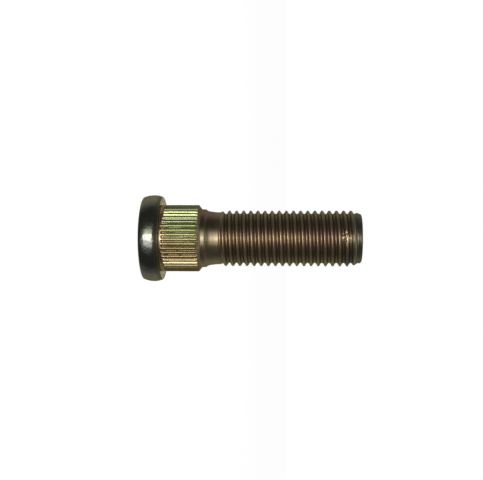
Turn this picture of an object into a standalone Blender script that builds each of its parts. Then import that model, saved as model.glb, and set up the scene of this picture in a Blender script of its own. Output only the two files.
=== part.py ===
"""Press-in wheel stud, one piece of steel: an upset head, a serrated neck and a rolled metric thread.

The stud stands on its head. The origin is the middle of the head's end face, and the shank rises
along +Z. Lengths are in metres.
"""

import math

import bmesh
import bpy

# Head, upset from the bar, so its side bulges and its edges are soft
HEAD_DIAMETER = 0.01832
HEAD_END_DIAMETER = 0.0176
HEAD_SEAT_DIAMETER = 0.01778
HEAD_THICKNESS = 0.00405
HEAD_BULGE_HEIGHT = 0.0023
HEAD_END_ROUND = 0.00045
HEAD_SEAT_ROUND = 0.0003
HEAD_SEGMENTS = 72

# Serrated neck, pressed into the hub, with a fillet at the head and a turned lead at its other end
KNURL_DIAMETER = 0.01412
KNURL_LENGTH = 0.00765
KNURL_TEETH = 45
KNURL_DEPTH = 0.00035
KNURL_CREST_WIDTH = 0.00022
KNURL_ROOT_WIDTH = 0.0001
KNURL_START_ANGLE = math.radians(0.0)
KNURL_FILLET = 0.0003
LEAD_LENGTH = 0.0007

# Shoulder and plain neck, which step the shank down to the thread
SHOULDER_DIAMETER = 0.01235
SHOULDER_LENGTH = 0.00065
SHOULDER_TAPER = 0.0001
SHOULDER_EASE = 0.0002
STEP_LENGTH = 0.00065
NECK_DIAMETER = 0.01148
NECK_LENGTH = 0.0019
NECK_EASE = 0.00035
BLANK_LENGTH = 0.0005

# Right-hand metric thread, rolled on a blank of its pitch diameter
THREAD_DIAMETER = 0.012
THREAD_PITCH = 0.0015
THREAD_LENGTH = 0.02977
THREAD_START_ANGLE = math.radians(-10.0)
THREAD_ALLOWANCE = 0.0001
THREAD_RUNOUT_LENGTH = 0.0017
SHANK_SEGMENTS = 40

# Tip, chamfered before rolling, with a rounded edge round its flat end face
TIP_DIAMETER = 0.0099
TIP_ROUND = 0.00025
TIP_CHAMFER_LENGTH = 0.00225

# Steel, zinc plated and passivated to a dark yellowish olive
STEEL_COLOUR = (0.105, 0.095, 0.062, 1.0)
STEEL_ROUGHNESS = 0.34

# Heights of the sections above the head's end face
KNURL_END = HEAD_THICKNESS + KNURL_LENGTH
SHOULDER_START = KNURL_END + LEAD_LENGTH
SHOULDER_END = SHOULDER_START + SHOULDER_LENGTH
NECK_START = SHOULDER_END + STEP_LENGTH
NECK_END = NECK_START + NECK_LENGTH
THREAD_START = NECK_END + BLANK_LENGTH
STUD_LENGTH = THREAD_START + THREAD_LENGTH

# Metric thread form: all of it follows from the height of its sharp triangle
THREAD_FLANK = math.radians(30.0)
TRIANGLE_HEIGHT = THREAD_PITCH / (2.0 * math.tan(THREAD_FLANK))
PITCH_RADIUS = THREAD_DIAMETER / 2.0 - TRIANGLE_HEIGHT * 3.0 / 8.0
ROOT_RADIUS = THREAD_DIAMETER / 2.0 - TRIANGLE_HEIGHT * 17.0 / 24.0
CREST_RADIUS = THREAD_DIAMETER / 2.0 - THREAD_ALLOWANCE
CREST_HALF = THREAD_PITCH / 4.0 - (CREST_RADIUS - PITCH_RADIUS) * math.tan(THREAD_FLANK)
ROOT_HALF = THREAD_PITCH / 4.0 - (PITCH_RADIUS - ROOT_RADIUS) * math.tan(THREAD_FLANK)

FULL_TURN = 2.0 * math.pi
MERGE_DISTANCE = 1e-7
SNAP_DISTANCE = 0.00002


def arc(centre, radius, start, stop, steps):
    """Points (radius, height) along an arc of a turned profile, with its angles in degrees."""
    angles = [math.radians(start + (stop - start) * step / steps) for step in range(steps + 1)]
    return [(centre[0] + radius * math.cos(a), centre[1] + radius * math.sin(a)) for a in angles]


def rim_from(corner):
    """The open edges that run once round from a corner."""
    edge = next(e for e in corner.link_edges if e.is_boundary)
    rim = []
    while edge not in rim:
        rim.append(edge)
        corner = edge.other_vert(corner)
        edge = next(e for e in corner.link_edges if e.is_boundary and e is not edge)
    return rim


def revolve(bm, profile, segments):
    """Turns a profile of (radius, height) points once round Z, and returns its first and last rims."""
    corners = [bm.verts.new((radius, 0.0, height)) for radius, height in profile]
    edges = [bm.edges.new(pair) for pair in zip(corners, corners[1:])]
    bmesh.ops.spin(
        bm,
        geom=corners + edges,
        cent=(0.0, 0.0, 0.0),
        axis=(0.0, 0.0, 1.0),
        angle=FULL_TURN,
        steps=segments,
        use_merge=True,
    )
    return rim_from(corners[0]), rim_from(corners[-1])


def skin(bm, column, next_column):
    """Faces between two rows of corners, without those whose corners have run together."""
    for a, b, c, d in zip(column, next_column, next_column[1:], column[1:]):
        corners = list(dict.fromkeys((a, b, c, d)))
        if len(corners) > 2:
            bm.faces.new(corners)


def bulged_side(edge, steps):
    """Points on the head's side from an edge towards its widest point, on a parabola, without its ends."""
    widest = HEAD_DIAMETER / 2.0
    points = []
    for step in range(1, steps):
        share = step / steps
        radius = widest - (widest - edge[0]) * (1.0 - share) ** 2
        points.append((radius, edge[1] + (HEAD_BULGE_HEIGHT - edge[1]) * share))
    return points


def head_profile():
    """The head's side, from the end face's edge round the bulge to the seat under the head."""
    end_centre = (HEAD_END_DIAMETER / 2.0 - HEAD_END_ROUND, HEAD_END_ROUND)
    seat_centre = (HEAD_SEAT_DIAMETER / 2.0 - HEAD_SEAT_ROUND, HEAD_THICKNESS - HEAD_SEAT_ROUND)
    end_round = arc(end_centre, HEAD_END_ROUND, -90.0, 0.0, 4)
    seat_round = arc(seat_centre, HEAD_SEAT_ROUND, 0.0, 90.0, 3)
    lower_side = bulged_side(end_round[-1], 3)
    upper_side = bulged_side(seat_round[0], 3)
    widest_point = (HEAD_DIAMETER / 2.0, HEAD_BULGE_HEIGHT)
    return end_round + lower_side + [widest_point] + upper_side[::-1] + seat_round


def eased(before, corner, after, setback, steps):
    """Points that round off a corner between its neighbours, from one setback along to the other."""
    ends = []
    for neighbour in (before, after):
        share = setback / math.dist(corner, neighbour)
        ends.append([c + (n - c) * share for c, n in zip(corner, neighbour)])
    points = []
    for step in range(steps + 1):
        t = step / steps
        points.append(tuple(
            (1.0 - t) ** 2 * a + 2.0 * t * (1.0 - t) * c + t ** 2 * b
            for a, c, b in zip(ends[0], corner, ends[1])
        ))
    return points


def neck_profile():
    """The shoulder, the step and the plain neck, down to the blank that the thread is rolled on."""
    shoulder_start = (SHOULDER_DIAMETER / 2.0, SHOULDER_START)
    shoulder_end = (SHOULDER_DIAMETER / 2.0 - SHOULDER_TAPER, SHOULDER_END)
    neck_start = (NECK_DIAMETER / 2.0, NECK_START)
    neck_end = (PITCH_RADIUS, NECK_END)
    blank_end = (PITCH_RADIUS, THREAD_START)
    shoulder_corner = eased(shoulder_start, shoulder_end, neck_start, SHOULDER_EASE, 2)
    neck_corner = eased(shoulder_end, neck_start, neck_end, NECK_EASE, 3)
    blank_corner = eased(neck_start, neck_end, blank_end, NECK_EASE, 2)
    return [shoulder_start] + shoulder_corner + neck_corner + blank_corner


def knurl_outline(bm, cut, grow, height):
    """One ring round the serrations, their crests turned down to the radius cut, and grown by grow."""
    crest = KNURL_DIAMETER / 2.0
    root = crest - KNURL_DEPTH
    tooth = FULL_TURN / KNURL_TEETH
    crest_half = KNURL_CREST_WIDTH / 2.0 / crest
    foot_half = tooth / 2.0 - KNURL_ROOT_WIDTH / 2.0 / root
    share = min(1.0, (crest - cut) / KNURL_DEPTH)
    corner_half = crest_half + (foot_half - crest_half) * share
    ring = []
    for number in range(KNURL_TEETH):
        middle = KNURL_START_ANGLE + tooth * number
        for turn, radius in (
            (-foot_half, min(root, cut)),
            (-corner_half, cut),
            (corner_half, cut),
            (foot_half, min(root, cut)),
        ):
            reach = radius + grow
            angle = middle + turn
            ring.append(bm.verts.new((reach * math.cos(angle), reach * math.sin(angle), height)))
    return ring


def knurl(bm):
    """The serrated neck from the fillet at the head to the end of its lead, and its two rims."""
    crest = KNURL_DIAMETER / 2.0
    root = crest - KNURL_DEPTH
    rings = []
    for step in range(3):
        angle = math.pi / 2.0 * step / 2
        grow = KNURL_FILLET * (1.0 - math.sin(angle))
        rise = KNURL_FILLET * (1.0 - math.cos(angle))
        rings.append(knurl_outline(bm, crest, grow, HEAD_THICKNESS + rise))
    rings.append(knurl_outline(bm, crest, 0.0, KNURL_END))
    slope = LEAD_LENGTH / (crest - SHOULDER_DIAMETER / 2.0)
    rings.append(knurl_outline(bm, root, 0.0, KNURL_END + KNURL_DEPTH * slope))
    for ring, next_ring in zip(rings, rings[1:]):
        skin(bm, ring + ring[:1], next_ring + next_ring[:1])
    bmesh.ops.remove_doubles(bm, verts=rings[-1], dist=MERGE_DISTANCE)
    last = next(v for v in rings[-1] if v.is_valid)
    return rim_from(rings[0][0]), rim_from(last)


def thread_radius(form_radius, height):
    """The thread's radius at a height, faded out on the blank and cut by the chamfer of the tip."""
    fade = min(1.0, max(0.0, (height - THREAD_START) / THREAD_RUNOUT_LENGTH))
    radius = PITCH_RADIUS + (form_radius - PITCH_RADIUS) * fade
    chamfer_end = TIP_DIAMETER / 2.0 + TIP_ROUND
    slope = (CREST_RADIUS - chamfer_end) / (TIP_CHAMFER_LENGTH - TIP_ROUND)
    return min(radius, chamfer_end + (STUD_LENGTH - TIP_ROUND - height) * slope)


def thread(bm):
    """The helical surface between two flat rims, and those rims."""
    end = STUD_LENGTH - TIP_ROUND
    form = [
        (-CREST_HALF, CREST_RADIUS),
        (CREST_HALF, CREST_RADIUS),
        (THREAD_PITCH / 2.0 - ROOT_HALF, ROOT_RADIUS),
        (THREAD_PITCH / 2.0 + ROOT_HALF, ROOT_RADIUS),
    ]
    turns = math.ceil((end - THREAD_START) / THREAD_PITCH) + 3
    columns = []
    for segment in range(SHANK_SEGMENTS):
        angle = THREAD_START_ANGLE + FULL_TURN * segment / SHANK_SEGMENTS
        first_crest = THREAD_START - THREAD_PITCH * (1.0 - segment / SHANK_SEGMENTS) - CREST_HALF
        column = []
        last_height = None
        for turn in range(turns):
            for offset, form_radius in form:
                height = first_crest + THREAD_PITCH * turn + offset
                if height < THREAD_START + SNAP_DISTANCE:
                    height = THREAD_START
                if height > end - SNAP_DISTANCE:
                    height = end
                if height != last_height:
                    radius = thread_radius(form_radius, height)
                    corner = bm.verts.new((radius * math.cos(angle), radius * math.sin(angle), height))
                column.append(corner)
                last_height = height
        columns.append(column)
    for column, next_column in zip(columns, columns[1:]):
        skin(bm, column, next_column)
    skin(bm, columns[-1], columns[0][len(form):])
    return rim_from(columns[0][0]), rim_from(columns[0][-1])


def tip_profile():
    """The rounded edge of the tip, from just above the thread's end to the flat end face."""
    centre = (TIP_DIAMETER / 2.0, STUD_LENGTH - TIP_ROUND)
    return arc(centre, TIP_ROUND, 0.0, 90.0, 3)[1:]


def bridge(bm, rim, next_rim):
    """Faces between two rims, which may have different numbers of corners."""
    bmesh.ops.bridge_loops(bm, edges=rim + next_rim)


def steel():
    """The stud's plated steel."""
    material = bpy.data.materials.new("plated_steel")
    material.use_nodes = True
    surface = material.node_tree.nodes["Principled BSDF"]
    surface.inputs["Base Color"].default_value = STEEL_COLOUR
    surface.inputs["Metallic"].default_value = 1.0
    surface.inputs["Roughness"].default_value = STEEL_ROUGHNESS
    return material


def wheel_stud():
    """The whole stud, one closed surface."""
    bm = bmesh.new()
    head_end, head_seat = revolve(bm, head_profile(), HEAD_SEGMENTS)
    knurl_foot, knurl_lead = knurl(bm)
    shoulder, blank = revolve(bm, neck_profile(), SHANK_SEGMENTS)
    thread_foot, thread_end = thread(bm)
    tip_foot, tip_end = revolve(bm, tip_profile(), SHANK_SEGMENTS)
    bridge(bm, head_seat, knurl_foot)
    bridge(bm, knurl_lead, shoulder)
    bridge(bm, blank, thread_foot)
    bridge(bm, thread_end, tip_foot)
    bmesh.ops.edgeloop_fill(bm, edges=head_end)
    bmesh.ops.edgeloop_fill(bm, edges=tip_end)
    bmesh.ops.recalc_face_normals(bm, faces=bm.faces)
    mesh = bpy.data.meshes.new("wheel_stud")
    bm.to_mesh(mesh)
    bm.free()
    mesh.materials.append(steel())
    mesh.shade_smooth()
    mesh.set_sharp_from_angle(angle=math.radians(35.0))
    stud = bpy.data.objects.new("wheel_stud", mesh)
    bpy.context.scene.collection.objects.link(stud)
    return stud


for leftover in list(bpy.data.objects):
    bpy.data.objects.remove(leftover)

wheel_stud()
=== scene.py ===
"""A press-in wheel stud with yellowish olive zinc plating, standing on its head on a pale floor.

Lengths are in metres. The origin is the middle of the head's end face, and the shank rises along +Z.
"""

import math

import bmesh
import bpy
from mathutils import Matrix, Vector, noise


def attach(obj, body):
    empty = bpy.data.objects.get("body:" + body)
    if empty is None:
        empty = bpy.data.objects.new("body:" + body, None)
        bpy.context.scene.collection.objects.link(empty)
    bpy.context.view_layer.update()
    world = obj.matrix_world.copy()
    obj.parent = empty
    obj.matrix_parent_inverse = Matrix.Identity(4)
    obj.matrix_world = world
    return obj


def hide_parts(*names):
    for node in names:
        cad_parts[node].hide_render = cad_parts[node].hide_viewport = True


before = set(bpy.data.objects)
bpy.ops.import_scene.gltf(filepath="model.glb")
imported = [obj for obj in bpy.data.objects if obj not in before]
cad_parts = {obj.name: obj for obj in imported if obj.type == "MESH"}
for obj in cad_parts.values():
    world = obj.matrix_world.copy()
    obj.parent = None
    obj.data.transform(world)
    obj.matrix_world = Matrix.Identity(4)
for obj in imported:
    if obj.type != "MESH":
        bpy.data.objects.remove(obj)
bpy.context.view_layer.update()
scene = bpy.context.scene
scene.view_settings.view_transform = "Standard"

# Camera, 180 mm from the stud and rolled a quarter turn, so that the stud lies with its head at the
# left of the picture. It looks a little down at the head and sits level with the thread.
CAMERA_PLACE = Vector((0.00036, -0.17974, 0.03043))
CAMERA_TILT = math.radians(3.1)
CAMERA_ROLL = math.radians(0.12)
CAMERA_SENSOR = 36.0
CAMERA_LENS = 63.35
CAMERA_NEAREST = 0.01

look = Vector((0.0, math.cos(CAMERA_TILT), -math.sin(CAMERA_TILT)))
along = Vector((0.0, math.sin(CAMERA_TILT), math.cos(CAMERA_TILT)))
right = along * math.cos(CAMERA_ROLL) - Vector((1.0, 0.0, 0.0)) * math.sin(CAMERA_ROLL)
up = right.cross(look)
camera_data = bpy.data.cameras.new("camera")
camera_data.sensor_width = CAMERA_SENSOR
camera_data.lens = CAMERA_LENS
camera_data.clip_start = CAMERA_NEAREST
camera = bpy.data.objects.new("camera", camera_data)
camera.matrix_world = Matrix.Translation(CAMERA_PLACE) @ Matrix((right, up, -look)).transposed().to_4x4()
scene.collection.objects.link(camera)
scene.camera = camera

# Wheel stud, one piece of steel bar: its head is upset, then its serrations and its thread are
# rolled, and the whole is zinc plated and passivated to an olive, gold and purple film.

# Head, with a bulged side, softly rounded edges and shallow dents
HEAD_RADIUS = 0.00916
HEAD_END_RADIUS = 0.0088
HEAD_SEAT_RADIUS = 0.00889
HEAD_THICKNESS = 0.00405
HEAD_BULGE_HEIGHT = 0.0023
HEAD_END_ROUND = 0.00045
HEAD_SEAT_ROUND = 0.0003
HEAD_SIDE_TILT = 20.0
HEAD_SIDE_STEPS = 10
HEAD_DENT = 0.00005
HEAD_DENT_SCALE = 420.0
HEAD_DENT_COVER = 0.1

# Serrated neck, which starts at a collar under the head and ends in a lead cone
KNURL_RADIUS = 0.00706
KNURL_LENGTH = 0.00765
KNURL_TEETH = 45
KNURL_DEPTH = 0.00035
KNURL_CREST = 0.00022
KNURL_ROOT = 0.0001
KNURL_FILLET = 0.00015
KNURL_COLLAR = 0.0005
KNURL_RUNOUT = 0.0003
KNURL_START_REACH = 1.5
KNURL_COLUMNS = 12
LEAD_LENGTH = 0.0007

# Wear of the serrations' crests, as shares of their depth, and each serration's place in the noise
KNURL_WEAR = 0.04
KNURL_WEAR_SPREAD = 0.06
KNURL_WEAR_SCALE = 350.0
KNURL_WEAR_STRIDE = 3.7
KNURL_WEAR_LAYER = 1.0
KNURL_START_STRIDE = 5.3
KNURL_START_LAYER = 7.0

# Shoulder and plain neck, which step the shank down to the blank of the thread
SHOULDER_RADIUS = 0.006175
SHOULDER_LENGTH = 0.0009
SHOULDER_TAPER = 0.00005
SHOULDER_EASE = 0.0001
STEP_LENGTH = 0.0004
NECK_RADIUS = 0.00574
NECK_LENGTH = 0.0019
NECK_EASE = 0.0003
NECK_LONG_EASE = 0.0009
BLANK_LENGTH = 0.0005

# Right-hand metric thread, worn a little on its crests
THREAD_RADIUS = 0.006
THREAD_PITCH = 0.0015
THREAD_LENGTH = 0.02977
THREAD_START_ANGLE = math.radians(-10.0)
THREAD_ALLOWANCE = 0.0001
THREAD_RUNOUT_LENGTH = 0.0012
THREAD_WEAR = 0.00003
THREAD_WEAR_SCALE = 600.0
THREAD_WEAR_COVER = 0.25
THREAD_SPARE_TURNS = 3

# A nick scraped across the crests near the tip, and how ragged it is
NICK_HEIGHT = 0.0424
NICK_RADIUS = 0.00565
NICK_WIDTH = 0.0012
NICK_LENGTH = 0.00055
NICK_SCALE = 2600.0
NICK_CONTRAST = 2.0
NICK_COVER = 0.7

# Tip, chamfered before rolling, with a rounded edge round its flat end face
TIP_RADIUS = 0.00475
TIP_ROUND = 0.00045
TIP_TILT = 20.0
TIP_CHAMFER_LENGTH = 0.00225

# Heights above the head's end face
KNURL_END = HEAD_THICKNESS + KNURL_LENGTH
SHOULDER_START = KNURL_END + LEAD_LENGTH
SHOULDER_END = SHOULDER_START + SHOULDER_LENGTH
NECK_START = SHOULDER_END + STEP_LENGTH
NECK_END = NECK_START + NECK_LENGTH
THREAD_START = NECK_END + BLANK_LENGTH
STUD_LENGTH = THREAD_START + THREAD_LENGTH
THREAD_END = STUD_LENGTH - TIP_ROUND

# Serration and thread forms, which follow from the sizes above. All of a metric thread follows from
# the height of its sharp triangle.
FULL_TURN = 2.0 * math.pi
KNURL_PITCH = FULL_TURN * KNURL_RADIUS / KNURL_TEETH
KNURL_ROOT_RADIUS = KNURL_RADIUS - KNURL_DEPTH
LEAD_SLOPE = LEAD_LENGTH / (KNURL_RADIUS - SHOULDER_RADIUS)
THREAD_FLANK = math.radians(30.0)
TRIANGLE_HEIGHT = THREAD_PITCH / (2.0 * math.tan(THREAD_FLANK))
PITCH_RADIUS = THREAD_RADIUS - TRIANGLE_HEIGHT * 3.0 / 8.0
ROOT_RADIUS = THREAD_RADIUS - TRIANGLE_HEIGHT * 5.0 / 8.0
CREST_RADIUS = THREAD_RADIUS - THREAD_ALLOWANCE
CHAMFER_END_RADIUS = TIP_RADIUS + TIP_ROUND / math.cos(math.radians(TIP_TILT))
CHAMFER_SLOPE = (CREST_RADIUS - CHAMFER_END_RADIUS) / (TIP_CHAMFER_LENGTH - TIP_ROUND)

# Mesh: corners round a turned ring and round the thread, the rings of a flat end face as shares of
# its radius, the flat that each profile keeps at the seat, and the gap that closes up at a rim
TURNED_COLUMNS = 180
THREAD_COLUMNS = 144
FACE_SHARES = (0.2, 0.4, 0.6, 0.8, 0.97)
SEAT_MARGIN = 0.0002
SNAP = 0.00001
SHARP_ANGLE = math.radians(40.0)


def limited(share):
    """A share, held between 0 and 1."""
    return min(1.0, max(0.0, share))


def arc(centre, radius, start, stop, steps):
    """Points (radius, height) along an arc of a turned profile, with its angles in degrees."""
    angles = [math.radians(start + (stop - start) * step / steps) for step in range(steps + 1)]
    return [(centre[0] + radius * math.cos(a), centre[1] + radius * math.sin(a)) for a in angles]


def ring(bm, radii, height):
    """One ring of corners, with a radius for each column."""
    corners = []
    for column, radius in enumerate(radii):
        angle = FULL_TURN * column / len(radii)
        corners.append(bm.verts.new((radius * math.cos(angle), radius * math.sin(angle), height)))
    return corners


def skin(bm, row, next_row):
    """Faces between two rows of corners, without those whose corners have run together."""
    for a, b, c, d in zip(row, next_row, next_row[1:], row[1:]):
        corners = list(dict.fromkeys((a, b, c, d)))
        if len(corners) > 2:
            bm.faces.new(corners)


def stack(bm, rings):
    """Faces between each ring and the next."""
    for lower, upper in zip(rings, rings[1:]):
        skin(bm, lower + lower[:1], upper + upper[:1])


def turned(bm, profile, columns):
    """A turned surface from a profile of (radius, height) points, as its rings."""
    rings = [ring(bm, [radius] * columns, height) for radius, height in profile]
    stack(bm, rings)
    return rings


def rim(corners):
    """The edges round a ring of corners."""
    edges = []
    for corner, next_corner in zip(corners, corners[1:] + corners[:1]):
        edges.append(next(e for e in corner.link_edges if e.other_vert(corner) is next_corner))
    return edges


def rim_from(corner):
    """The open edges that run once round from a corner."""
    edge = next(e for e in corner.link_edges if e.is_boundary)
    edges = []
    while edge not in edges:
        edges.append(edge)
        corner = edge.other_vert(corner)
        edge = next(e for e in corner.link_edges if e.is_boundary and e is not edge)
    return edges


def head_profile():
    """The head from near the middle of its end face, round its bulged side, to the seat."""
    end_corner = HEAD_END_RADIUS - HEAD_END_ROUND
    seat_corner = HEAD_SEAT_RADIUS - HEAD_SEAT_ROUND
    seat_centre = (seat_corner, HEAD_THICKNESS - HEAD_SEAT_ROUND)
    end_face = [(end_corner * share, 0.0) for share in FACE_SHARES]
    end_round = arc((end_corner, HEAD_END_ROUND), HEAD_END_ROUND, -90.0, -HEAD_SIDE_TILT, steps=8)
    seat_round = arc(seat_centre, HEAD_SEAT_ROUND, HEAD_SIDE_TILT, 90.0, steps=6)
    side = []
    for edge, order in ((end_round[-1], 1), (seat_round[0], -1)):
        half = []
        for step in range(1, HEAD_SIDE_STEPS):
            share = step / HEAD_SIDE_STEPS
            reach = HEAD_RADIUS - (HEAD_RADIUS - edge[0]) * (1.0 - share) ** 2
            half.append((reach, edge[1] + (HEAD_BULGE_HEIGHT - edge[1]) * share))
        side += half[::order]
        if order == 1:
            side.append((HEAD_RADIUS, HEAD_BULGE_HEIGHT))
    seat = [(seat_corner - SEAT_MARGIN, HEAD_THICKNESS)]
    return end_face + end_round + side + seat_round + seat


def head(bm):
    """The head with the shallow dents of its forging, as its rings."""
    rings = turned(bm, head_profile(), TURNED_COLUMNS)
    for corner in (corner for row in rings for corner in row):
        reach = Vector((corner.co.x, corner.co.y, 0.0))
        side = limited((reach.length - HEAD_SEAT_RADIUS) / (HEAD_RADIUS - HEAD_SEAT_RADIUS))
        dent = HEAD_DENT * side * max(0.0, noise.noise(corner.co * HEAD_DENT_SCALE) + HEAD_DENT_COVER)
        corner.co -= reach.normalized() * dent
    return rings


def eased(before, corner, after, setbacks, steps):
    """Points that round off a corner, from one setback before it to the other after it."""
    ends = []
    for neighbour, setback in zip((before, after), setbacks):
        share = setback / math.dist(corner, neighbour)
        ends.append([c + (n - c) * share for c, n in zip(corner, neighbour)])
    points = []
    for step in range(steps + 1):
        t = step / steps
        points.append(tuple(
            (1.0 - t) ** 2 * a + 2.0 * t * (1.0 - t) * c + t ** 2 * b
            for a, c, b in zip(ends[0], corner, ends[1])
        ))
    return points


def neck_profile():
    """The shoulder, the step and the plain neck, up to the blank that the thread is rolled on."""
    lead = (KNURL_ROOT_RADIUS, KNURL_END + KNURL_DEPTH * LEAD_SLOPE)
    shoulder_start = (SHOULDER_RADIUS, SHOULDER_START)
    shoulder_end = (SHOULDER_RADIUS - SHOULDER_TAPER, SHOULDER_END)
    neck_start = (NECK_RADIUS, NECK_START)
    neck_end = (PITCH_RADIUS, NECK_END)
    blank_end = (PITCH_RADIUS, THREAD_START)
    both_sides = (SHOULDER_EASE, SHOULDER_EASE)
    lead_corner = eased(lead, shoulder_start, shoulder_end, both_sides, steps=4)
    shoulder_corner = eased(shoulder_start, shoulder_end, neck_start, both_sides, steps=6)
    neck_corner = eased(shoulder_end, neck_start, neck_end, (NECK_EASE, NECK_LONG_EASE), steps=8)
    blank_corner = eased(neck_start, neck_end, blank_end, (NECK_LONG_EASE, NECK_EASE), steps=6)
    return lead_corner + shoulder_corner + neck_corner + blank_corner


def tooth_share(place):
    """How high a serration stands, from 0 in the root to 1 on the crest, with its place in teeth."""
    from_crest = abs(place - round(place)) * KNURL_PITCH - KNURL_CREST / 2.0
    flank = (KNURL_PITCH - KNURL_CREST - KNURL_ROOT) / 2.0
    down = limited(from_crest / flank)
    rounded = down * down * (3.0 - 2.0 * down)
    return 1.0 - (down + rounded) / 2.0


def knurl_radius(column, height):
    """The serrated neck's radius, with worn crests and with serrations that start unevenly."""
    tooth = column / KNURL_COLUMNS
    number = round(tooth) % KNURL_TEETH
    wear_place = Vector((number * KNURL_WEAR_STRIDE, height * KNURL_WEAR_SCALE, KNURL_WEAR_LAYER))
    start_place = Vector((number * KNURL_START_STRIDE, 0.0, KNURL_START_LAYER))
    crest = KNURL_RADIUS - KNURL_DEPTH * (KNURL_WEAR + KNURL_WEAR_SPREAD * noise.noise(wear_place))
    start = HEAD_THICKNESS + KNURL_COLLAR + KNURL_RUNOUT * noise.noise(start_place)
    depth_share = limited((height - start) / KNURL_RUNOUT + 0.5)
    radius = crest - KNURL_DEPTH * depth_share * (1.0 - tooth_share(tooth))
    cone = KNURL_RADIUS - max(0.0, height - KNURL_END) / LEAD_SLOPE
    return max(min(radius, cone), min(KNURL_ROOT_RADIUS, cone))


def knurl(bm):
    """The serrated neck from its fillet under the head to the end of its lead, as its rings."""
    start_end = KNURL_COLLAR + KNURL_RUNOUT * KNURL_START_REACH
    lead_end = KNURL_LENGTH + KNURL_DEPTH * LEAD_SLOPE
    stretches = ((KNURL_FILLET, start_end, 8), (start_end, KNURL_LENGTH, 14), (KNURL_LENGTH, lead_end, 6))
    levels = [(KNURL_FILLET + SEAT_MARGIN, 0.0)]
    levels += arc((KNURL_FILLET, KNURL_FILLET), KNURL_FILLET, -90.0, -180.0, steps=6)
    for low, high, steps in stretches:
        levels += [(0.0, low + (high - low) * (step + 1) / steps) for step in range(steps)]
    rings = []
    for reach, lift in levels:
        height = HEAD_THICKNESS + lift
        radii = [knurl_radius(column, height) + reach for column in range(KNURL_TEETH * KNURL_COLUMNS)]
        rings.append(ring(bm, radii, height))
    stack(bm, rings)
    return rings


def thread_form():
    """Points (offset, radius) over one pitch: rounded crest, flank, rounded root and flank."""
    crest_steps = 4
    root_steps = 3
    crest_round = PITCH_RADIUS + TRIANGLE_HEIGHT / 2.0 - CREST_RADIUS
    root_round = ROOT_RADIUS - (PITCH_RADIUS - TRIANGLE_HEIGHT / 2.0)
    crest_centre = CREST_RADIUS - crest_round
    root_centre = ROOT_RADIUS + root_round
    reach = math.pi / 2.0 - THREAD_FLANK
    points = []
    for step in range(-crest_steps, crest_steps + 1):
        angle = reach * step / crest_steps
        points.append((crest_round * math.sin(angle), crest_centre + crest_round * math.cos(angle)))
    for step in range(-root_steps, root_steps + 1):
        angle = reach * step / root_steps
        offset = THREAD_PITCH / 2.0 + root_round * math.sin(angle)
        points.append((offset, root_centre - root_round * math.cos(angle)))
    return points


def thread_radius(form_radius, height, angle):
    """The thread's radius, faded out on the blank, worn and nicked on its crests and chamfered."""
    fade = limited((height - THREAD_START) / THREAD_RUNOUT_LENGTH)
    radius = PITCH_RADIUS + (form_radius - PITCH_RADIUS) * fade
    place = Vector((radius * math.cos(angle), radius * math.sin(angle), height))
    crest = max(0.0, (radius - PITCH_RADIUS) / (CREST_RADIUS - PITCH_RADIUS))
    wear = THREAD_WEAR * max(0.0, noise.noise(place * THREAD_WEAR_SCALE) + THREAD_WEAR_COVER)
    radius -= crest * wear
    if place.y < 0.0:
        near = math.exp(-(place.x / NICK_WIDTH) ** 2 - ((height - NICK_HEIGHT) / NICK_LENGTH) ** 2)
        ragged = limited(noise.noise(place * NICK_SCALE) * NICK_CONTRAST + NICK_COVER)
        radius += (NICK_RADIUS - radius) * near * ragged
    return min(radius, CHAMFER_END_RADIUS + (THREAD_END - height) * CHAMFER_SLOPE)


def thread(bm):
    """The helical surface between two flat rims, and those rims.

    Each column has the form once a turn and starts a little above the last one. Where the helix
    runs past a rim, its corners stop there, and run together.
    """
    form = thread_form()
    turns = math.ceil((THREAD_END - THREAD_START) / THREAD_PITCH) + THREAD_SPARE_TURNS
    columns = []
    for number in range(THREAD_COLUMNS):
        angle = THREAD_START_ANGLE + FULL_TURN * number / THREAD_COLUMNS
        first = THREAD_START - THREAD_PITCH * (1.0 - number / THREAD_COLUMNS) + form[0][0]
        column = []
        last_height = None
        for turn in range(turns):
            for offset, form_radius in form:
                height = first + THREAD_PITCH * turn + offset
                if height < THREAD_START + SNAP:
                    height = THREAD_START
                if height > THREAD_END - SNAP:
                    height = THREAD_END
                if height != last_height:
                    radius = thread_radius(form_radius, height, angle)
                    corner = bm.verts.new((radius * math.cos(angle), radius * math.sin(angle), height))
                column.append(corner)
                last_height = height
        columns.append(column)
    for column, next_column in zip(columns, columns[1:]):
        skin(bm, column, next_column)
    skin(bm, columns[-1], columns[0][len(form):])
    return rim_from(columns[0][0]), rim_from(columns[0][-1])


def tip_profile():
    """The rounded edge of the tip and its flat end face, towards the middle."""
    edge = arc((TIP_RADIUS, THREAD_END), TIP_ROUND, TIP_TILT, 90.0, steps=6)
    return edge + [(TIP_RADIUS * share, STUD_LENGTH) for share in reversed(FACE_SHARES)]


def bridge(bm, edges, next_edges):
    """Faces between two rims, which may have different numbers of corners."""
    bmesh.ops.bridge_loops(bm, edges=edges + next_edges)


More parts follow.
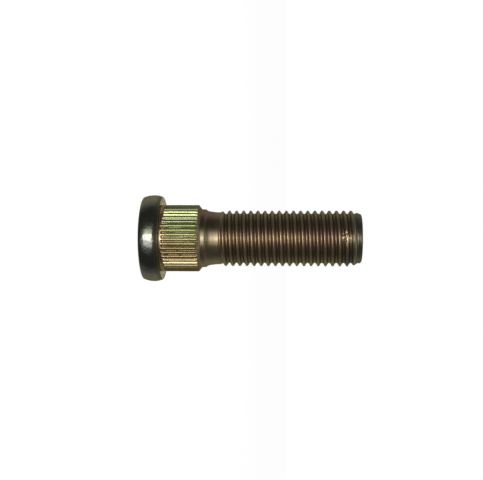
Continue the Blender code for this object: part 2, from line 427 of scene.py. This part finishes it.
bm = bmesh.new()
head_rings = head(bm)
knurl_rings = knurl(bm)
neck_rings = turned(bm, neck_profile(), TURNED_COLUMNS)
thread_foot, thread_top = thread(bm)
tip_rings = turned(bm, tip_profile(), THREAD_COLUMNS)
bridge(bm, rim(head_rings[-1]), rim(knurl_rings[0]))
bridge(bm, rim(knurl_rings[-1]), rim(neck_rings[0]))
bridge(bm, rim(neck_rings[-1]), thread_foot)
bridge(bm, thread_top, rim(tip_rings[0]))
bmesh.ops.edgeloop_fill(bm, edges=rim(head_rings[0]))
bmesh.ops.edgeloop_fill(bm, edges=rim(tip_rings[-1]))
bmesh.ops.recalc_face_normals(bm, faces=bm.faces)
stud_mesh = bpy.data.meshes.new("stud")
bm.to_mesh(stud_mesh)
bm.free()
stud_mesh.shade_smooth()
stud_mesh.set_sharp_from_angle(angle=SHARP_ANGLE)
stud = bpy.data.objects.new("stud", stud_mesh)
scene.collection.objects.link(stud)


class Socket:
    """An output in a node tree. Arithmetic on it adds Math nodes, and make adds any other node."""

    def __init__(self, tree, output):
        self.tree = tree
        self.output = output

    @classmethod
    def make(cls, tree, kind, settings, inputs, output=0):
        """Adds a node, with its settings first and then its inputs' values and links."""
        node = tree.nodes.new(kind)
        for name, value in settings.items():
            setattr(node, name, value)
        for name, value in inputs.items():
            if isinstance(value, cls):
                tree.links.new(value.output, node.inputs[name])
            else:
                node.inputs[name].default_value = value
        return cls(tree, node.outputs[output])

    def math(self, operation, *values):
        """Adds a Math node."""
        return Socket.make(self.tree, "ShaderNodeMath", {"operation": operation}, dict(enumerate(values)))

    def __add__(self, other):
        return self.math("ADD", self, other)

    def __radd__(self, other):
        return self.math("ADD", other, self)

    def __sub__(self, other):
        return self.math("SUBTRACT", self, other)

    def __rsub__(self, other):
        return self.math("SUBTRACT", other, self)

    def __mul__(self, other):
        return self.math("MULTIPLY", self, other)

    def __rmul__(self, other):
        return self.math("MULTIPLY", other, self)

    def __pow__(self, other):
        return self.math("POWER", self, other)

    def __rpow__(self, other):
        return self.math("POWER", other, self)

    def __abs__(self):
        return self.math("ABSOLUTE", self)


def rise(value, low, high):
    """0 where value is under low, 1 where it is over high, and a smooth step between them."""
    settings = {"interpolation_type": "SMOOTHSTEP"}
    inputs = {"Value": value, "From Min": low, "From Max": high}
    return Socket.make(value.tree, "ShaderNodeMapRange", settings, inputs)


def blend(share, colour, other):
    """One colour where share is 0 and the other where it is 1."""
    settings = {"data_type": "RGBA"}
    return Socket.make(share.tree, "ShaderNodeMix", settings, {0: share, 6: colour, 7: other}, output=2)


def grain(place, scale, detail, stretch=(1.0, 1.0, 1.0)):
    """Noise around 0.5 at a scale in features per metre, closer along the axes that are stretched."""
    settings = {"operation": "MULTIPLY"}
    spread = Socket.make(place.tree, "ShaderNodeVectorMath", settings, {0: place, 1: stretch})
    inputs = {"Vector": spread, "Scale": scale, "Detail": detail}
    return Socket.make(place.tree, "ShaderNodeTexNoise", {}, inputs)


# Colours of the film from the head to the tip, the painted shade in its grooves and the bare metal of the
# nick
HEAD_GREEN = (0.23, 0.24, 0.18, 1.0)
HEAD_GREY = (0.19, 0.19, 0.165, 1.0)
SEAT_GOLD = (0.4, 0.3, 0.17, 1.0)
SEAT_BROWN = (0.14, 0.125, 0.08, 1.0)
KNURL_GREEN = (0.32, 0.35, 0.165, 1.0)
KNURL_TAN = (0.28, 0.215, 0.11, 1.0)
NECK_PURPLE = (0.22, 0.145, 0.115, 1.0)
# The neck's dark green, above its middle, is film hue with painted shade, and its cream, from just above
# the middle down, is film hue with a painted highlight.
NECK_GREEN_AND_SHADE = (0.15, 0.125, 0.06, 1.0)
NECK_CREAM_AND_SHEEN = (0.24, 0.195, 0.12, 1.0)
# The thread's bronze and purple are film hues laid as a painted sheen across its middle, where the lamps'
# highlight falls.
THREAD_SHEEN_BRONZE = (0.34, 0.245, 0.145, 1.0)
THREAD_SHEEN_PURPLE = (0.3, 0.2, 0.14, 1.0)
THREAD_OLIVE = (0.29, 0.24, 0.145, 1.0)
TIP_OLIVE = (0.25, 0.24, 0.175, 1.0)
TIP_SLATE = (0.11, 0.12, 0.125, 1.0)
GROOVE_SHADE = (0.07, 0.058, 0.04, 1.0)
NICK_METAL = (0.6, 0.5, 0.33, 1.0)
GLANCING_TINT = (0.6, 0.55, 0.4, 1.0)

# The height where each film begins, the height where it is full, and how ragged its edge is
SEAT_FILM = (HEAD_THICKNESS - 0.001, HEAD_THICKNESS - 0.0002, 0.0003)
KNURL_FILM = (HEAD_THICKNESS + 0.0006, HEAD_THICKNESS + 0.0016, 0.0006)
NECK_FILM = (KNURL_END + 0.0002, KNURL_END + 0.0008, 0.0006)
THREAD_FILM = (NECK_END - 0.0002, THREAD_START + 0.0008, 0.0008)
SLATE_FILM = (STUD_LENGTH - 0.004, STUD_LENGTH + 0.002, 0.006)
TIP_FILM = (STUD_LENGTH - 0.0024, STUD_LENGTH - 0.001, 0.0008)

# Places across the stud, along X, between which a colour gives way to the one that is named
KNURL_TAN_EDGE = (-0.003, 0.003)
NECK_GREEN_AND_SHADE_EDGE = (-0.0044, -0.0034)
NECK_CREAM_AND_SHEEN_EDGE = (-0.003, -0.0012)
THREAD_SHEEN_TO_OLIVE_EDGE = (0.001, 0.0035)
TIP_SLATE_EDGE = (0.002, 0.005)
EDGE_RAGGED = 0.004

# Radii over which the seat turns brown and the painted shade of the grooves ends, and how much painted
# shade there is
SEAT_BROWN_EDGE = (KNURL_RADIUS + 0.0002, KNURL_RADIUS + 0.0006)
KNURL_SHADE_EDGE = (KNURL_ROOT_RADIUS, KNURL_RADIUS - KNURL_DEPTH * 0.45)
THREAD_SHADE_EDGE = (ROOT_RADIUS + 0.0001, PITCH_RADIUS + 0.0002)
KNURL_SHADE_SHARE = 0.6
THREAD_SHADE_SHARE = 0.5

# Grain of the film in features per metre, the levels of it over which patches and scrapes begin, and
# how far from the middle of the nick it is scraped
CLOUD_SCALE = 260.0
DRIFT_SCALE = 90.0
FINE_SCALE = 2400.0
DIMPLE_SCALE = 900.0
STREAK_SCALE = 500.0
STREAK_STRETCH = (1.0, 1.0, 9.0)
CLOUD_SHARE = 0.6
PATCH_EDGE = (0.42, 0.6)
SCRAPE_EDGE = (0.46, 0.56)
SCRAPE_REACH = (NICK_LENGTH, NICK_WIDTH * 1.4)

# Gloss: the roughness of the head, what the grain and each length of the shank add to it, how much
# duller the film is on the shank, and how high the grain, the dimples and the thread's streaks stand
HEAD_ROUGHNESS = 0.18
FINE_ROUGHNESS = 0.06
PATCH_ROUGHNESS = 0.04
KNURL_ROUGHNESS = 0.04
NECK_ROUGHNESS = 0.06
THREAD_ROUGHNESS = 0.03
SHANK_DULL = 0.06
THREAD_BRIGHT = 0.02
FINE_HEIGHT = 0.3
DIMPLE_HEIGHT = 9.0
STREAK_HEIGHT = 0.5
BUMP_STRENGTH = 0.3
BUMP_DEPTH = 0.00003


def plating():
    """The plated and passivated finish, whose film changes colour from the head to the tip, with painted
    shade in the grooves and above the neck's middle, and painted sheen across the middle of the neck and
    the thread.
    """
    material = bpy.data.materials.new("plating")
    material.use_nodes = True
    tree = material.node_tree
    surface = tree.nodes["Principled BSDF"]
    place = Socket.make(tree, "ShaderNodeTexCoord", {}, {}, output="Object")
    x, y, z = (Socket.make(tree, "ShaderNodeSeparateXYZ", {}, {0: place}, output=axis) for axis in "XYZ")
    radius = (x * x + y * y) ** 0.5
    cloud = grain(place, CLOUD_SCALE, detail=3.0)
    drift = grain(place, DRIFT_SCALE, detail=2.0)
    fine = grain(place, FINE_SCALE, detail=3.0)
    dimple = grain(place, DIMPLE_SCALE, detail=2.0)
    streak = grain(place, STREAK_SCALE, detail=3.0, stretch=STREAK_STRETCH)

    films = (SEAT_FILM, KNURL_FILM, NECK_FILM, THREAD_FILM, SLATE_FILM, TIP_FILM)
    on_seat, on_knurl, on_neck, on_thread, near_tip, on_tip = (
        rise(z + cloud * ragged, low, high) for low, high, ragged in films
    )
    on_teeth = on_knurl * (1 - on_neck)
    patch = rise(cloud * CLOUD_SHARE + drift * (1 - CLOUD_SHARE), *PATCH_EDGE)
    side = x + (cloud - 0.5) * EDGE_RAGGED

    head_film = blend(patch, HEAD_GREEN, HEAD_GREY)
    seat_film = blend(rise(radius, *SEAT_BROWN_EDGE), SEAT_GOLD, SEAT_BROWN)
    knurl_film = blend(rise(side, *KNURL_TAN_EDGE), KNURL_GREEN, KNURL_TAN)
    # Film hues with painted light: dark green above the neck's middle as painted shade, and cream from
    # just above the middle down as a painted highlight.
    neck_film_shade_and_sheen = blend(rise(side, *NECK_GREEN_AND_SHADE_EDGE), NECK_PURPLE, NECK_GREEN_AND_SHADE)
    neck_film_shade_and_sheen = blend(rise(side, *NECK_CREAM_AND_SHEEN_EDGE), neck_film_shade_and_sheen, NECK_CREAM_AND_SHEEN)
    # Painted sheen: bronze and purple across the thread's middle, where the lamps' highlight falls, and
    # olive towards both sides.
    thread_film_and_sheen = blend(patch, THREAD_SHEEN_BRONZE, THREAD_SHEEN_PURPLE)
    thread_film_and_sheen = blend(rise(abs(side), *THREAD_SHEEN_TO_OLIVE_EDGE), thread_film_and_sheen, THREAD_OLIVE)
    thread_film_and_sheen = blend(rise(side, *TIP_SLATE_EDGE) * near_tip, thread_film_and_sheen, TIP_SLATE)
    colour = blend(on_seat, head_film, seat_film)
    colour = blend(on_knurl, colour, knurl_film)
    colour = blend(on_neck, colour, neck_film_shade_and_sheen)
    colour = blend(on_thread, colour, thread_film_and_sheen)
    colour = blend(on_tip, colour, TIP_OLIVE)
    # Painted shade: the roots of the serrations and of the thread are darkened towards a dark brown.
    knurl_groove_shade = on_teeth * (1 - rise(radius, *KNURL_SHADE_EDGE))
    thread_groove_shade = on_thread * (1 - rise(radius, *THREAD_SHADE_EDGE))
    colour = blend(knurl_groove_shade * KNURL_SHADE_SHARE + thread_groove_shade * THREAD_SHADE_SHARE, colour, GROOVE_SHADE)
    inputs = {0: place, 1: (0.0, -NICK_RADIUS, NICK_HEIGHT)}
    from_nick = Socket.make(tree, "ShaderNodeVectorMath", {"operation": "DISTANCE"}, inputs, output=1)
    scraped = rise(fine, *SCRAPE_EDGE) * (1 - rise(from_nick, *SCRAPE_REACH))
    colour = blend(scraped, colour, NICK_METAL)
    tree.links.new(colour.output, surface.inputs["Base Color"])

    roughness = HEAD_ROUGHNESS + fine * FINE_ROUGHNESS + patch * PATCH_ROUGHNESS
    roughness += on_knurl * KNURL_ROUGHNESS + on_neck * NECK_ROUGHNESS + on_thread * THREAD_ROUGHNESS
    tree.links.new(roughness.output, surface.inputs["Roughness"])
    metallic = 1 - on_seat * SHANK_DULL + on_thread * THREAD_BRIGHT
    tree.links.new(metallic.output, surface.inputs["Metallic"])
    surface.inputs["Specular Tint"].default_value = GLANCING_TINT
    height = fine * FINE_HEIGHT + dimple * (1 - on_seat) * DIMPLE_HEIGHT
    height += streak * on_thread * STREAK_HEIGHT
    inputs = {"Strength": BUMP_STRENGTH, "Distance": BUMP_DEPTH, "Height": height}
    bump = Socket.make(tree, "ShaderNodeBump", {}, inputs)
    tree.links.new(bump.output, surface.inputs["Normal"])
    return material


stud_mesh.materials.append(plating())
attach(stud, "root")
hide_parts("wheel_stud")

# Floor, a plain sheet of white paper that keeps the stud's shadow. The camera and glass see a part
# of it as its own light, so that it reaches white. The lamps shine up through it, and metal sees
# the studio in its place.
FLOOR_SIZE = 40.0
FLOOR_COLOUR = (0.8, 0.8, 0.8, 1.0)
FLOOR_GLOW_SHARE = 0.6
FLOOR_GLOW = 1.42


def seen_by(tree, *rays):
    """1 for rays of the named kinds, and 0 for the rest."""
    return sum(Socket.make(tree, "ShaderNodeLightPath", {}, {}, output=ray) for ray in rays)


def floor_finish():
    """White paper, lifted to the white of the backdrop."""
    material = bpy.data.materials.new("floor")
    material.use_nodes = True
    tree = material.node_tree
    tree.nodes.remove(tree.nodes["Principled BSDF"])
    paper = Socket.make(tree, "ShaderNodeBsdfDiffuse", {}, {"Color": FLOOR_COLOUR})
    glow = Socket.make(tree, "ShaderNodeEmission", {}, {"Strength": FLOOR_GLOW})
    share = seen_by(tree, "Is Camera Ray", "Is Transmission Ray") * FLOOR_GLOW_SHARE
    mixed = Socket.make(tree, "ShaderNodeMixShader", {}, {0: share, 1: paper, 2: glow})
    tree.links.new(mixed.output, tree.nodes["Material Output"].inputs["Surface"])
    return material


bm = bmesh.new()
bmesh.ops.create_grid(bm, x_segments=1, y_segments=1, size=FLOOR_SIZE / 2.0)
floor_mesh = bpy.data.meshes.new("floor")
bm.to_mesh(floor_mesh)
bm.free()
floor_mesh.materials.append(floor_finish())
floor = bpy.data.objects.new("floor", floor_mesh)
floor.visible_shadow = False
floor.visible_glossy = False
scene.collection.objects.link(floor)

# Studio, a dim room with a white backdrop, which the camera and glass see all round. Metal sees it
# straight behind the stud, with a softer white card at each side, and the dim room elsewhere.
ROOM_LEVEL = 0.05
CARD_LEVEL = 0.55
CARD_DEPTH = (-0.2, 0.75)
CARD_ASIDE = (0.1, 0.65)
BACKDROP_DEPTH = (0.9, 0.98)
AMBIENT_LEVEL = 0.4
WHITE = (1.0, 1.0, 1.0, 1.0)

world = bpy.data.worlds.new("studio")
world.use_nodes = True
tree = world.node_tree
way = Socket.make(tree, "ShaderNodeTexCoord", {}, {}, output="Generated")
aside = abs(Socket.make(tree, "ShaderNodeSeparateXYZ", {}, {0: way}, output="X"))
depth = Socket.make(tree, "ShaderNodeSeparateXYZ", {}, {0: way}, output="Y")
cards = ROOM_LEVEL + rise(depth, *CARD_DEPTH) * rise(aside, *CARD_ASIDE) * CARD_LEVEL
mirrored = cards + rise(depth, *BACKDROP_DEPTH) * (1 - cards)
straight = seen_by(tree, "Is Camera Ray", "Is Transmission Ray")
glossy = seen_by(tree, "Is Glossy Ray")
level = straight + glossy * mirrored + (1 - straight - glossy) * AMBIENT_LEVEL
background = tree.nodes["Background"]
background.inputs["Color"].default_value = WHITE
tree.links.new(level.output, background.inputs["Strength"])
scene.world = world

# Lamps, all soft boxes: a narrow and a wide one just behind the camera, which reach below the floor
# and light the stud's whole side, a small one above them for the tip's edge, and a dim one overhead.
KEY_PLACE = (0.001, -0.185, -0.0325)
KEY_AIM = (0.0, 0.0, -0.0325)
KEY_SIZE = (0.04, 0.145)
KEY_LEVEL = 0.3
WIDE_PLACE = (0.0, -0.19, -0.03)
WIDE_AIM = (0.0, 0.0, -0.03)
WIDE_SIZE = (0.18, 0.18)
WIDE_LEVEL = 0.34
UPPER_PLACE = (0.0, -0.19, 0.22)
UPPER_AIM = (0.0, 0.0, 0.04)
UPPER_SIZE = (0.1, 0.1)
UPPER_LEVEL = 0.08
TOP_PLACE = (0.0, 0.05, 0.4)
TOP_AIM = (0.0, 0.0, 0.02)
TOP_SIZE = (0.3, 0.3)
TOP_LEVEL = 0.15


def lamp(name, place, aim, size, level):
    """A soft rectangular lamp, which lights a white card that faces it at its aim to a level."""
    data = bpy.data.lights.new(name, "AREA")
    data.shape = "RECTANGLE"
    data.size, data.size_y = size
    data.energy = level * 4.0 * math.pi * (Vector(place) - Vector(aim)).length ** 2
    lamp_object = bpy.data.objects.new(name, data)
    lamp_object.location = place
    lamp_object.rotation_euler = (Vector(aim) - Vector(place)).to_track_quat("-Z", "Y").to_euler()
    scene.collection.objects.link(lamp_object)


lamp("key", KEY_PLACE, KEY_AIM, KEY_SIZE, KEY_LEVEL)
lamp("wide", WIDE_PLACE, WIDE_AIM, WIDE_SIZE, WIDE_LEVEL)
lamp("upper", UPPER_PLACE, UPPER_AIM, UPPER_SIZE, UPPER_LEVEL)
lamp("top", TOP_PLACE, TOP_AIM, TOP_SIZE, TOP_LEVEL)
